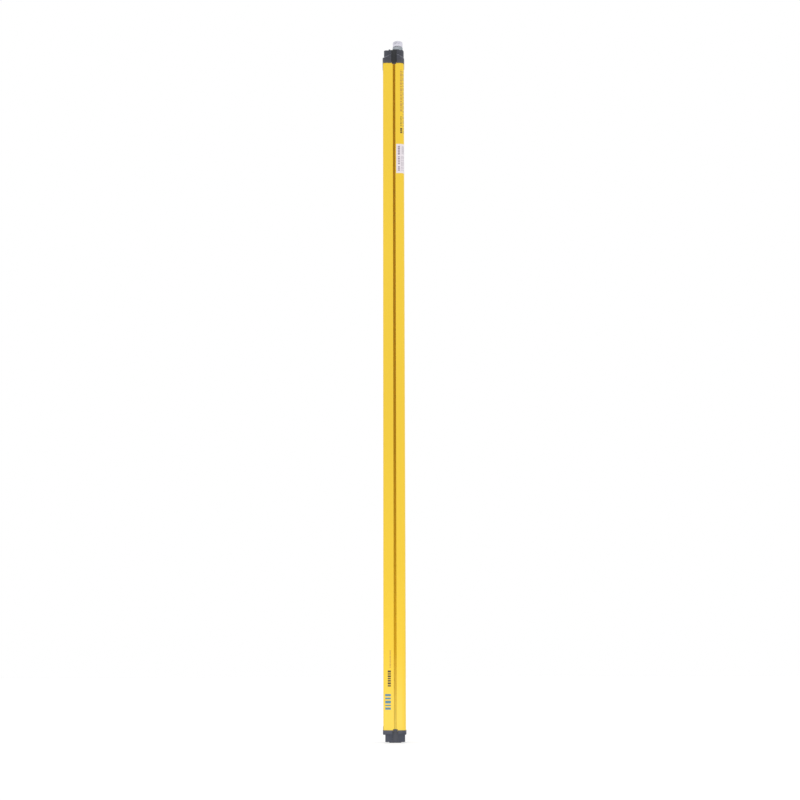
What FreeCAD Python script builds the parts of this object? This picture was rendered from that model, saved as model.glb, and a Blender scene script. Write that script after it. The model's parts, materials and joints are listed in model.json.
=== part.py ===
import FreeCAD, Part
import Sketcher
import math
import os

# Safety light curtain, receiver or sender bar. Millimetres.
# +Z runs along the bar, connector end up. The optical front faces -Y, the
# mounting slots are in the two side faces (+X and -X). The origin is the middle
# of the bar's foot, at the outer face of the bottom cap.

V = FreeCAD.Vector
doc = FreeCAD.newDocument("SafetyLightCurtain")
sheet = doc.addObject("Spreadsheet::Sheet", "Sheet")

SIZES = [
    # overall
    ("bar_length", 1737.0, "length over both caps"),
    ("field_length", 1650.0, "protective field, eleven modules"),
    ("field_start", 34.0, "lower end of the protective field"),
    ("env_width", 52.0, "cap width across the side faces"),
    ("env_depth", 55.5, "cap depth front to rear"),
    # housing extrusion
    ("prof_width", 50.0, "extrusion width"),
    ("prof_depth", 53.5, "extrusion depth"),
    ("front_radius", 4.0, "front outer corners"),
    ("rear_radius", 9.0, "rear outer corners"),
    ("cav_half", 16.2, "half width of the main chamber"),
    ("cav_rear", 24.5, "rear wall inner face"),
    ("ledge_front", 20.75, "ledge behind the window seals, distance from the axis"),
    ("slot_offset", 1.5, "mounting slot centre, rearward of the axis"),
    ("slot_mouth", 6.2, "mounting slot opening"),
    ("slot_inner", 11.0, "mounting slot inner width"),
    ("slot_lip", 1.8, "slot lip thickness"),
    ("slot_floor", 18.7, "slot floor, distance from the axis"),
    ("notch_width", 11.0, "widened slot end"),
    ("notch_length", 2.6, "widened slot end, seen past the cap"),
    ("screw_x", 18.8, "cap screw positions"),
    ("screw_front", 15.5, "front cap screws"),
    ("screw_rear", 18.4, "rear cap screws"),
    ("screw_core", 1.65, "screw channel radius"),
    # window
    ("win_half", 18.2, "half width of the window pane"),
    ("win_front", 25.2, "outer face of the pane"),
    ("win_thick", 3.0, "pane thickness"),
    ("win_visible", 16.0, "half width of the window opening"),
    ("groove_half", 18.5, "window groove half width"),
    # caps
    ("top_cap_height", 39.5, "top cap, end face to housing"),
    ("bottom_cap_height", 29.0, "bottom cap, end face to housing"),
    ("cap_lip", 2.5, "cap lip over the housing end"),
    ("gasket_thick", 1.5, "cap gasket"),
    ("boss_width", 46.0, "cap boss width"),
    ("boss_depth", 50.7, "top cap boss depth"),
    ("boss_depth_low", 46.9, "bottom cap boss depth"),
    ("boss_offset", 1.2, "cap bosses, rearward of the axis"),
    ("cap_radius", 8.0, "cap corner radius"),
    ("channel_width", 13.8, "channel in the caps in line with the slot"),
    ("channel_floor", 19.7, "channel floor, distance from the axis"),
    ("lip_opening", 11.2, "opening of the cap lip at the slot"),
    ("top_skirt", 17.0, "front tongue of the top cap, nearly flush with the housing"),
    ("bottom_skirt", 8.5, "front skirt of the bottom cap"),
    ("plat_height", 4.0, "connector platform on the top cap"),
    ("foot_height", 2.0, "raised middle of the bottom cap"),
    # connector
    ("conn_y", 11.0, "connector axis, rearward of the bar axis"),
    ("conn_reach", 26.6, "connector height over the top cap"),
    ("conn_radius", 13.0, "thread outside radius"),
    ("conn_bore", 11.3, "connector inside radius"),
    # optics
    ("beams", 8.0, "beams in a module"),
    ("module_gap", 0.4, "gap between modules"),
    ("carrier_half", 15.9, "carrier half width"),
    ("carrier_front", 19.6, "carrier front face, distance from the axis"),
    ("carrier_rear", 2.0, "carrier rear face, rearward of the axis"),
    ("lens_half", 14.3, "lens strip half width"),
    ("lens_thick", 2.0, "lens strip thickness"),
    ("lens_radius", 5.6, "lens radius"),
    ("lens_rise", 1.5, "lens rise over its strip"),
    ("tube_radius", 5.2, "aperture tube radius"),
    ("diode_radius", 1.8, "infrared diode radius"),
    ("board_thick", 1.6, "circuit board thickness"),
    ("board_half", 14.3, "circuit board half width"),
]
for row, (alias, value, note) in enumerate(SIZES, start=1):
    sheet.set("A%d" % row, note)
    sheet.set("B%d" % row, "%g" % value)
    sheet.setAlias("B%d" % row, alias)
doc.recompute()


class Size:
    """A length with its value and the sheet formula that gives it."""

    def __init__(self, value, text):
        self.v = float(value)
        self.t = text

    def __add__(self, other):
        o = size(other)
        return Size(self.v + o.v, "(%s + %s)" % (self.t, o.t))

    __radd__ = __add__

    def __sub__(self, other):
        o = size(other)
        return Size(self.v - o.v, "(%s - %s)" % (self.t, o.t))

    def __rsub__(self, other):
        return size(other) - self

    def __mul__(self, other):
        o = size(other)
        return Size(self.v * o.v, "(%s * %s)" % (self.t, o.t))

    __rmul__ = __mul__

    def __truediv__(self, other):
        o = size(other)
        return Size(self.v / o.v, "(%s / %s)" % (self.t, o.t))

    def __neg__(self):
        return Size(-self.v, "(-1 * %s)" % self.t)


def size(x):
    return x if isinstance(x, Size) else Size(x, "(%.6f)" % float(x))


VALUES = {alias: value for alias, value, _ in SIZES}


def d(alias):
    return Size(VALUES[alias], "Sheet." + alias)


# ---------------------------------------------------------------- helpers

def plane(body, role):
    for feature in body.Origin.OriginFeatures:
        if feature.Role == role:
            return feature
    raise RuntimeError("no plane " + role)


def sketch(body, name, role="XY_Plane", off=None):
    sk = body.newObject("Sketcher::SketchObject", name)
    sk.AttachmentSupport = [(plane(body, role), "")]
    sk.MapMode = "FlatFace"
    if off is not None:
        sk.setExpression("AttachmentOffset.Base.z", size(off).t)
    return sk


def place_point(sk, geo, pos, x, y):
    x, y = size(x), size(y)
    if abs(x.v) < 1e-9 and abs(y.v) < 1e-9:
        sk.addConstraint(Sketcher.Constraint("Coincident", geo, pos, -1, 1))
        return
    if abs(x.v) < 1e-9:
        sk.addConstraint(Sketcher.Constraint("PointOnObject", geo, pos, -2))
    else:
        k = sk.addConstraint(Sketcher.Constraint("DistanceX", -1, 1, geo, pos, x.v))
        sk.setExpression("Constraints[%d]" % k, x.t)
    if abs(y.v) < 1e-9:
        sk.addConstraint(Sketcher.Constraint("PointOnObject", geo, pos, -1))
    else:
        k = sk.addConstraint(Sketcher.Constraint("DistanceY", -1, 1, geo, pos, y.v))
        sk.setExpression("Constraints[%d]" % k, y.t)


def poly(sk, points):
    pts = [(size(x), size(y)) for x, y in points]
    first = sk.GeometryCount
    count = len(pts)
    for i in range(count):
        a, b = pts[i], pts[(i + 1) % count]
        sk.addGeometry(Part.LineSegment(V(a[0].v, a[1].v, 0), V(b[0].v, b[1].v, 0)), False)
    for i in range(count):
        sk.addConstraint(Sketcher.Constraint("Coincident", first + i, 2, first + (i + 1) % count, 1))
    for i in range(count):
        place_point(sk, first + i, 1, *pts[i])


def rect(sk, x0, x1, y0, y1):
    poly(sk, [(x0, y0), (x1, y0), (x1, y1), (x0, y1)])


def rounded(sk, hx, y0, y1, r0, r1):
    """Rectangle from -hx to hx and y0 to y1, corner radius r0 at y0 and r1 at y1."""
    hx, y0, y1, r0, r1 = (size(q) for q in (hx, y0, y1, r0, r1))
    first = sk.GeometryCount
    corners = [
        (hx - r0, y0 + r0, r0, 270), (hx - r1, y1 - r1, r1, 0),
        (-hx + r1, y1 - r1, r1, 90), (-hx + r0, y0 + r0, r0, 180),
    ]

    def at(corner, turn):
        cx, cy, r, _ = corner
        return {0: (cx + r, cy), 90: (cx, cy + r), 180: (cx - r, cy), 270: (cx, cy - r)}[turn % 360]

    for corner in corners:
        cx, cy, r, a = corner
        arc = Part.ArcOfCircle(Part.Circle(V(cx.v, cy.v, 0), V(0, 0, 1), r.v),
                               math.radians(a), math.radians(a + 90))
        sk.addGeometry(arc, False)
    for i in range(4):
        a, b = at(corners[i], corners[i][3] + 90), at(corners[(i + 1) % 4], corners[(i + 1) % 4][3])
        sk.addGeometry(Part.LineSegment(V(a[0].v, a[1].v, 0), V(b[0].v, b[1].v, 0)), False)
    for i in range(4):
        sk.addConstraint(Sketcher.Constraint("Coincident", first + 4 + i, 1, first + i, 2))
        sk.addConstraint(Sketcher.Constraint("Coincident", first + 4 + i, 2, first + (i + 1) % 4, 1))
    for i, corner in enumerate(corners):
        cx, cy, r, a = corner
        place_point(sk, first + i, 3, cx, cy)
        place_point(sk, first + i, 1, *at(corner, a))
        ex, ey = at(corner, a + 90)
        if (a + 90) % 180 == 0:
            k = sk.addConstraint(Sketcher.Constraint("DistanceY", -1, 1, first + i, 2, ey.v))
            sk.setExpression("Constraints[%d]" % k, ey.t)
        else:
            k = sk.addConstraint(Sketcher.Constraint("DistanceX", -1, 1, first + i, 2, ex.v))
            sk.setExpression("Constraints[%d]" % k, ex.t)


def circle(sk, x, y, radius):
    x, y, radius = size(x), size(y), size(radius)
    geo = sk.addGeometry(Part.Circle(V(x.v, y.v, 0), V(0, 0, 1), radius.v), False)
    k = sk.addConstraint(Sketcher.Constraint("Radius", geo, radius.v))
    sk.setExpression("Constraints[%d]" % k, radius.t)
    place_point(sk, geo, 3, x, y)


def pad(body, sk, length, name, back=False):
    f = body.newObject("PartDesign::Pad", name)
    f.Profile = sk
    f.setExpression("Length", size(length).t)
    f.Reversed = back
    sk.Visibility = False
    body.Tip = f
    doc.recompute()
    return f


def pocket(body, sk, length, name, back=False):
    """back=False cuts against the sketch's normal, back=True along it."""
    before = body.Shape.Volume
    f = body.newObject("PartDesign::Pocket", name)
    f.Profile = sk
    f.setExpression("Length", size(length).t)
    f.Reversed = back
    sk.Visibility = False
    body.Tip = f
    doc.recompute()
    if not body.Shape.Volume < before - 1e-3:
        raise RuntimeError("pocket %s removed nothing" % name)
    return f


def edges_where(shape, test):
    names = []
    for i, e in enumerate(shape.Edges, start=1):
        if test(e):
            names.append("Edge%d" % i)
    return names


def mid(e):
    return e.CenterOfMass


def upright(e, x=None, y=None, tol=0.05):
    """Straight edge along Z, at |x| and y if they are given."""
    if len(e.Vertexes) != 2:
        return False
    a, b = e.Vertexes[0].Point, e.Vertexes[1].Point
    if abs(a.x - b.x) > tol or abs(a.y - b.y) > tol:
        return False
    if x is not None and abs(abs(a.x) - x) > tol:
        return False
    if y is not None and abs(a.y - y) > tol:
        return False
    return True


def dress(body, kind, amount, test, name):
    """Fillet or Chamfer on the edges that pass the test."""
    base = body.Tip
    names = edges_where(base.Shape, test)
    if not names:
        raise RuntimeError("no edge for " + name)
    f = body.newObject("PartDesign::" + kind, name)
    f.Base = (base, names)
    prop = "Radius" if kind == "Fillet" else "Size"
    f.setExpression(prop, size(amount).t)
    body.Tip = f
    doc.recompute()
    if "Invalid" in f.State or "Error" in f.State:
        raise RuntimeError("%s failed on %s" % (name, names))
    return f


NODES = []


def new_body(label):
    body = doc.addObject("PartDesign::Body", label)
    body.Label = label
    NODES.append(body)
    return body


def lift(obj, z):
    obj.setExpression("Placement.Base.z", size(z).t)


def group(label, shapes, at=V(0, 0, 0)):
    """One node that is a group of separate identical solids."""
    obj = doc.addObject("Part::Feature", label)
    obj.Label = label
    obj.Shape = Part.makeCompound(shapes)
    obj.Placement = FreeCAD.Placement(at, FreeCAD.Rotation())
    NODES.append(obj)
    return obj


# ---------------------------------------------------------------- shared sizes
half_w = d("prof_width") / 2
half_d = d("prof_depth") / 2
env_x = d("env_width") / 2
env_y = d("env_depth") / 2
prof_low = d("bottom_cap_height") - d("cap_lip")
prof_high = d("bar_length") - d("top_cap_height") + d("cap_lip")
prof_len = prof_high - prof_low
slot_y = d("slot_offset")


# ---------------------------------------------------------------- housing extrusion
def build_profile():
    b = new_body("housing_profile")
    s = sketch(b, "ProfileOutline")
    rect(s, -half_w, half_w, -half_d, half_d)
    pad(b, s, prof_len, "ProfilePad")
    dress(b, "Fillet", d("front_radius"), lambda e: upright(e, half_w.v, -half_d.v), "FrontCorners")
    dress(b, "Fillet", d("rear_radius"), lambda e: upright(e, half_w.v, half_d.v), "RearCorners")

    # main chamber, open to the front, with the grooves that hold the pane
    s = sketch(b, "ChamberSection")
    wv, gh, ch = d("win_visible"), d("groove_half"), d("cav_half")
    groove_out = d("win_front") + 0.1
    ledge = d("ledge_front")
    poly(s, [
        (-wv, -half_d - 1), (wv, -half_d - 1), (wv, -groove_out), (gh, -groove_out),
        (gh, -ledge), (ch, -ledge), (ch, d("cav_rear")), (-ch, d("cav_rear")),
        (-ch, -ledge), (-gh, -ledge), (-gh, -groove_out), (-wv, -groove_out),
    ])
    pocket(b, s, prof_len, "Chamber", back=True)

    # mounting slots in both side faces
    s = sketch(b, "SlotSection")
    mouth, inner = d("slot_mouth") / 2, d("slot_inner") / 2
    lip = half_w - d("slot_lip")
    floor = d("slot_floor")
    for sign in (1, -1):
        poly(s, [
            (sign * (half_w + 1), slot_y - mouth), (sign * (half_w + 1), slot_y + mouth),
            (sign * lip, slot_y + mouth), (sign * lip, slot_y + inner),
            (sign * floor, slot_y + inner), (sign * floor, slot_y - inner),
            (sign * lip, slot_y - inner), (sign * lip, slot_y - mouth),
        ])
    pocket(b, s, prof_len, "Slots", back=True)

    # weight-saving side chambers
    s = sketch(b, "SideChambers")
    for sign in (1, -1):
        rect(s, sign * size(18.0), sign * size(22.9), -size(11.6), slot_y - inner - 2.0)
        rect(s, sign * size(18.0), sign * size(22.9), slot_y + inner + 2.0, size(14.6))
    pocket(b, s, prof_len, "SideChamberCut", back=True)

    # screw channels for the cap screws
    s = sketch(b, "ScrewChannels")
    for sx in (1, -1):
        circle(s, sx * d("screw_x"), -d("screw_front"), d("screw_core"))
        circle(s, sx * d("screw_x"), d("screw_rear"), d("screw_core"))
    pocket(b, s, prof_len, "ScrewChannelCut", back=True)

    # slot ends widened for sliding nuts
    for name, z0, z1 in (
        ("SlotEndLow", size(-1.0), d("cap_lip") + d("notch_length")),
        ("SlotEndHigh", prof_len - d("cap_lip") - d("notch_length"), prof_len + 1.0),
    ):
        s = sketch(b, name + "Section", "YZ_Plane", off=half_w + 1)
        rect(s, slot_y - d("notch_width") / 2, slot_y + d("notch_width") / 2, z0, z1)
        pocket(b, s, d("slot_lip") + 1, name + "Right")
        s = sketch(b, name + "SectionLeft", "YZ_Plane", off=-half_w - 1)
        rect(s, slot_y - d("notch_width") / 2, slot_y + d("notch_width") / 2, z0, z1)
        pocket(b, s, d("slot_lip") + 1, name + "Left", back=True)

    # softened edges of the slot mouths and of the window opening
    dress(b, "Fillet", size(0.6), lambda e: (
        (upright(e, half_w.v, (slot_y - mouth).v) or upright(e, half_w.v, (slot_y + mouth).v))
        and e.Length > 1000), "SlotMouthEdges")
    dress(b, "Fillet", size(0.7), lambda e: upright(e, wv.v, -half_d.v) and e.Length > 1000, "WindowRimEdges")
    lift(b, prof_low)
    return b


profile = build_profile()

# ---------------------------------------------------------------- window pane and seals
win_top = d("bar_length") - d("top_cap_height") - d("top_skirt") - 0.6


def build_window():
    b = new_body("front_window")
    s = sketch(b, "PaneSection")
    rect(s, -d("win_half"), d("win_half"), -d("win_front"), -d("win_front") + d("win_thick"))
    pad(b, s, win_top - prof_low, "Pane")
    lift(b, prof_low)
    for label, sign in (("window_seal_left", -1), ("window_seal_right", 1)):
        b = new_body(label)
        s = sketch(b, label + "_section")
        x0, x1 = sign * d("cav_half"), sign * d("win_half")
        rect(s, x0, x1, -d("win_front") + d("win_thick"), -d("ledge_front"))
        pad(b, s, win_top - prof_low, label + "_strip")
        lift(b, prof_low)


build_window()


# ---------------------------------------------------------------- caps
def cap_outline(b, name, z0, hx, hy, height, radius):
    """Rounded rectangular block standing on z0."""
    s = sketch(b, name + "Outline", off=z0)
    rect(s, -hx, hx, -hy, hy)
    return pad(b, s, height, name)


def build_cap(label, top):
    """Both caps are drawn with the housing side at low z and the end face up.
    The bottom cap is turned over afterwards about X."""
    b = new_body(label)
    total = d("top_cap_height") if top else d("bottom_cap_height")
    raised = d("plat_height") if top else d("foot_height")
    collar_high = size(24.0) if top else size(7.7)
    lip = d("cap_lip")
    rim = size(1.0)
    # lip and collar
    cap_outline(b, "Collar", size(0), env_x, env_y, collar_high + 2.5, d("cap_radius"))
    dress(b, "Fillet", size(4.6), lambda e: upright(e, env_x.v, -env_y.v), "CollarFrontCorners")
    dress(b, "Fillet", size(9.6), lambda e: upright(e, env_x.v, env_y.v), "CollarRearCorners")
    mouth = d("channel_width") / 2
    if top:
        # the collar rises towards the channel like a low gable
        s = sketch(b, "GableCut", "YZ_Plane", off=env_x + 1)
        c = slot_y
        for sign in (1, -1):
            poly(s, [
                (c + sign * (mouth + 1.5), collar_high + 5), (c + sign * (mouth + 1.5), collar_high),
                (c + sign * size(22.0), size(16.6)), (c + sign * size(26.6), size(14.2)),
                (c + sign * size(40.0), size(14.2)), (c + sign * size(40.0), collar_high + 5),
            ])
        pocket(b, s, d("env_width") + 2, "Gable")
        dress(b, "Chamfer", size(0.8), lambda e: len(e.Vertexes) == 2
              and all(abs(abs(v.Point.x) - env_x.v) < 0.01 and v.Point.z > 14 for v in e.Vertexes)
              and abs(e.Vertexes[0].Point.y - e.Vertexes[1].Point.y) > 0.5, "GableEdges")
    # boss above the collar
    s = sketch(b, "BossOutline", off=size(2.0))
    depth = d("boss_depth") if top else d("boss_depth_low")
    rounded(s, d("boss_width") / 2, d("boss_offset") - depth / 2, d("boss_offset") + depth / 2,
            size(5.0), size(6.5) if top else size(5.0))
    pad(b, s, total - raised - 2.0, "Boss")
    boss_top = total.v - raised.v
    dress(b, "Fillet", size(1.0) if top else size(1.2), lambda e: abs(mid(e).z - boss_top) < 0.01, "BossTopEdge")
    if not top:
        dress(b, "Fillet", size(1.0), lambda e: abs(mid(e).z - 10.2) < 0.01
              and (abs(mid(e).x) > 23.6 or abs(mid(e).y) > 25.1), "CollarEdge")
    # channels in line with the mounting slots
    s = sketch(b, "ChannelSection", off=lip)
    for sign in (1, -1):
        rect(s, sign * d("channel_floor"), sign * (env_x + 1), slot_y - mouth, slot_y + mouth)
    pocket(b, s, total + 5, "Channels", back=True)
    s = sketch(b, "LipOpening", off=size(0))
    for sign in (1, -1):
        rect(s, sign * d("channel_floor"), sign * (env_x + 1),
             slot_y - d("lip_opening") / 2, slot_y + d("lip_opening") / 2)
    pocket(b, s, lip + 1, "LipOpeningCut", back=True)
    # raised middle of the end face
    s = sketch(b, "RaisedOutline", off=total - raised - 1)
    if top:
        rounded(s, size(19.4), -size(2.4), size(25.1), size(1.0), size(9.5))
    else:
        rect(s, -size(15.0), size(15.0), -size(12.4), size(15.4))
    pad(b, s, raised + 1, "Raised")
    if top:
        # lower shelf in front of the platform, and ribs on both sides of the channel
        s = sketch(b, "ShelfOutline", off=total - raised - 1)
        rect(s, -size(19.4), size(19.4), -size(8.4), -size(2.0))
        pad(b, s, raised + 1 - 1.8, "Shelf")
        s = sketch(b, "RibOutline", off=total - raised - 6)
        for sign in (1, -1):
            rect(s, sign * size(18.0), sign * size(22.4), -size(12.0), -size(8.3))
            rect(s, sign * size(18.0), sign * size(22.4), slot_y + mouth + 0.3, size(14.8))
        pad(b, s, raised + 6 - 1.5, "Ribs")
    # seat for the gasket and the housing end
    seat = lip + d("gasket_thick")
    s = sketch(b, "SeatOutline", off=size(0))
    rounded(s, half_w + 0.15, -half_d - 0.15, half_d + 0.15, d("front_radius") + 0.15, d("rear_radius") + 0.15)
    pocket(b, s, seat, "Seat", back=True)
    # guide tongues that lie on the slot floors
    reach = d("notch_length") - 0.2
    s = sketch(b, "GuideTongues", off=-reach)
    for sign in (1, -1):
        rect(s, sign * (d("slot_floor") + 0.2), sign * d("channel_floor"),
             slot_y - d("slot_inner") / 2 + 0.2, slot_y + d("slot_inner") / 2 - 0.2)
    pad(b, s, reach + seat + 1.5, "Guides")
    # hollow inside
    s = sketch(b, "HollowOutline", off=size(0))
    rounded(s, size(16.0), -size(20.0), size(24.0), size(2.0), size(3.0))
    pocket(b, s, total - raised - 4, "Hollow", back=True)
    # screw holes with counterbores
    s = sketch(b, "ScrewHoles", off=size(0))
    for sx in (1, -1):
        circle(s, sx * d("screw_x"), -d("screw_front"), size(2.15))
        circle(s, sx * d("screw_x"), d("screw_rear"), size(2.15))
    pocket(b, s, total + 5, "ScrewHoleCut", back=True)
    s = sketch(b, "Counterbores", off=total + 5)
    for sx in (1, -1):
        circle(s, sx * d("screw_x"), -d("screw_front"), size(3.7))
        circle(s, sx * d("screw_x"), d("screw_rear"), size(3.7))
    pocket(b, s, raised + 5 + 4.5, "CounterboreCut")
    # front tongue over the pane's end, and at the foot a thin skirt round it
    skirt = d("top_skirt") if top else d("bottom_skirt")
    if not top:
        s = sketch(b, "SkirtOutline", off=-skirt)
        rect(s, -size(21.4), size(21.4), -half_d - 0.7, -half_d - 0.15)
        pad(b, s, skirt + 2.0, "Skirt")
    s = sketch(b, "TongueOutline", off=-skirt)
    if top:
        rect(s, -d("win_visible") + 0.15, d("win_visible") - 0.15, -half_d - 0.25, -size(21.0))
    else:
        rect(s, -d("win_visible") + 0.15, d("win_visible") - 0.15, -half_d - 0.6, -d("win_front") - 0.1)
    pad(b, s, skirt + (seat + 1 if top else lip - 0.1), "Tongue")
    if top:
        # opening for the connector
        s = sketch(b, "ConnectorHole", off=total + 1)
        circle(s, size(0), d("conn_y"), size(9.1))
        pocket(b, s, raised + 5 + 3, "ConnectorHoleCut")
        # stepped opening for the display lens
        s = sketch(b, "DisplayOpening", "XZ_Plane", off=env_y + 1)
        rect(s, -size(11.6), size(11.6), -size(14.0), -size(3.0))
        pocket(b, s, size(1.0) + env_y - half_d + 1.95, "DisplayStep")
        s = sketch(b, "DisplayThrough", "XZ_Plane", off=env_y + 1)
        rect(s, -size(10.2), size(10.2), -size(12.8), -size(4.2))
        pocket(b, s, size(12.0), "DisplayHole")
    return b, total, raised


top_cap, top_total, top_raised = build_cap("top_cap", True)
bottom_cap, bottom_total, bottom_raised = build_cap("bottom_cap", False)
lift(top_cap, d("bar_length") - d("top_cap_height"))
# the bottom cap is turned over about the Y axis, so its skirt stays in front
bottom_cap.Placement = FreeCAD.Placement(V(0, 0, 0), FreeCAD.Rotation(V(0, 1, 0), 180))
lift(bottom_cap, d("bottom_cap_height"))


# ---------------------------------------------------------------- gaskets and screws
def build_gasket(label, z):
    b = new_body(label)
    s = sketch(b, label + "_outline")
    rounded(s, half_w, -half_d, half_d, d("front_radius"), d("rear_radius"))
    pad(b, s, d("gasket_thick"), label + "_sheet")
    s = sketch(b, label + "_window")
    rounded(s, size(16.0), -size(20.0), size(24.0), size(2.0), size(3.0))
    pocket(b, s, d("gasket_thick"), label + "_window_cut", back=True)
    s = sketch(b, label + "_holes")
    for sx in (1, -1):
        circle(s, sx * d("screw_x"), -d("screw_front"), size(2.15))
        circle(s, sx * d("screw_x"), d("screw_rear"), size(2.15))
        # the mounting slot stays open to the cap's channel
        rect(s, sx * d("slot_floor"), sx * (half_w + 1),
             slot_y - d("slot_inner") / 2, slot_y + d("slot_inner") / 2)
    if label.startswith("top"):
        rect(s, -d("win_visible"), d("win_visible"), -half_d - 1, -size(20.9))
    pocket(b, s, d("gasket_thick"), label + "_hole_cut", back=True)
    lift(b, z)
    return b


build_gasket("top_gasket", prof_high)
build_gasket("bottom_gasket", prof_low - d("gasket_thick"))


def screw_shape(reach):
    """Pan head screw, head seat at z 0, shank downwards, six-lobe recess."""
    head = Part.makeCylinder(3.5, 2.4, V(0, 0, 0))
    rim = [e for e in head.Edges if abs(e.CenterOfMass.z - 2.4) < 1e-6 and e.Length > 10]
    head = head.makeFillet(1.0, rim)
    shank = Part.makeCylinder(1.6, reach, V(0, 0, -reach))
    tip = Part.makeCone(0.6, 1.6, 1.2, V(0, 0, -reach - 1.2))
    body = head.fuse(shank).fuse(tip)
    recess = Part.makeCylinder(1.25, 1.7, V(0, 0, 0.9))
    for k in range(6):
        a = math.radians(60 * k)
        recess = recess.fuse(Part.makeCylinder(0.5, 1.7, V(1.25 * math.cos(a), 1.25 * math.sin(a), 0.9)))
    return body.cut(recess).removeSplitter()


def screw_group(label, top):
    raised = VALUES["plat_height"] if top else VALUES["foot_height"]
    seat_z = (VALUES["bar_length"] - raised - 4.5) if top else (raised + 4.5)
    shapes = []
    for sx in (1, -1):
        for y in (-VALUES["screw_front"], VALUES["screw_rear"]):
            shape = screw_shape(34.0)
            if not top:
                shape.rotate(V(0, 0, 0), V(0, 1, 0), 180)
            shape.translate(V(sx * VALUES["screw_x"], y, seat_z))
            shapes.append(shape)
    return group(label, shapes)


screw_group("top_cap_screws", True)
screw_group("bottom_cap_screws", False)


# ---------------------------------------------------------------- connector
def revolve(b, name, points):
    """Full turn about Z of a section given as radius and height."""
    s = sketch(b, name + "Section", "XZ_Plane")
    poly(s, points)
    f = b.newObject("PartDesign::Revolution", name)
    f.Profile = s
    f.ReferenceAxis = (s, ["V_Axis"])
    f.Angle = 360.0
    s.Visibility = False
    b.Tip = f
    doc.recompute()
    return f


def at_connector(obj):
    obj.setExpression("Placement.Base.y", "Sheet.conn_y")
    obj.setExpression("Placement.Base.z", "Sheet.bar_length")


def build_connector():
    r, bore, reach = d("conn_radius"), d("conn_bore"), d("conn_reach")
    b = new_body("connector_shell")
    revolve(b, "ShellTurned", [
        (size(7.6), -size(15.0)), (size(9.0), -size(15.0)), (size(9.0), size(0.8)),
        (r - 0.4, size(0.8)), (r, size(1.2)), (r, reach - 0.8), (r - 0.8, reach),
        (bore, reach), (bore, size(6.0)), (size(7.6), size(6.0)),
    ])
    at_connector(b)
    b = new_body("connector_seal")
    revolve(b, "SealRing", [(size(9.2), size(0.0)), (r - 0.8, size(0.0)), (r - 0.8, size(0.8)), (size(9.2), size(0.8))])
    at_connector(b)
    b = new_body("connector_nut")
    s = sketch(b, "NutHex", off=-size(13.6))
    hexr = 12.1
    poly(s, [(hexr * math.cos(math.radians(60 * k + 30)), hexr * math.sin(math.radians(60 * k + 30))) for k in range(6)])
    pad(b, s, size(4.0), "Nut")
    s = sketch(b, "NutBore", off=-size(13.6))
    circle(s, 0, 0, size(9.05))
    pocket(b, s, size(4.0), "NutBoreCut", back=True)
    at_connector(b)
    # insulating insert with twelve contacts
    pins = [(6.8 * math.cos(math.radians(40 * k + 20)), 6.8 * math.sin(math.radians(40 * k + 20))) for k in range(9)]
    pins += [(2.7 * math.cos(math.radians(120 * k + 90)), 2.7 * math.sin(math.radians(120 * k + 90))) for k in range(3)]
    b = new_body("connector_insert")
    s = sketch(b, "InsertDisc", off=size(6.0))
    circle(s, 0, 0, bore - 0.1)
    pad(b, s, size(8.0), "Insert")
    s = sketch(b, "InsertHoles", off=size(6.0))
    for x, y in pins:
        circle(s, x, y, size(0.56))
    pocket(b, s, size(10.0), "InsertHoleCut", back=True)
    s = sketch(b, "Keyway", off=size(14.0))
    rect(s, -size(1.0), size(1.0), -size(13.0), -size(9.8))
    pocket(b, s, size(4.0), "KeywayCut")
    at_connector(b)
    at = V(0, VALUES["conn_y"], VALUES["bar_length"])
    shapes = []
    for x, y in pins:
        pin = Part.makeCylinder(0.5, 15.2, V(x, y, 5.5))
        shapes.append(pin.fuse(Part.makeCone(0.5, 0.2, 0.3, V(x, y, 20.7))).removeSplitter())
    group("connector_contacts", shapes, at)
    # earthing terminal between nut and cap, with a leg that bears on the housing
    b = new_body("earth_terminal")
    s = sketch(b, "TerminalRing", off=-size(9.6))
    circle(s, 0, 0, size(12.4))
    circle(s, 0, 0, size(9.2))
    pad(b, s, size(0.6), "Terminal")
    s = sketch(b, "TerminalLeg", off=-size(9.6))
    rect(s, -size(4.0), size(4.0), size(10.0), size(12.8))
    pad(b, s, size(0.6), "TerminalTab")
    s = sketch(b, "LegOutline", off=-size(44.0))
    rect(s, -size(4.0), size(4.0), size(12.3), size(12.8))
    pad(b, s, size(35.0), "Leg")
    s = sketch(b, "LegFoot", off=-size(44.0))
    rect(s, -size(4.0), size(4.0), size(12.3), size(24.5) - d("conn_y"))
    pad(b, s, size(3.0), "LegContact")
    at_connector(b)


build_connector()

# ---------------------------------------------------------------- optics modules
count = int(round(VALUES["field_length"] / 150.0))
pitch = d("field_length") / count
beam_pitch = pitch / d("beams")
beams = int(VALUES["beams"])
gap = d("module_gap")


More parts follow.
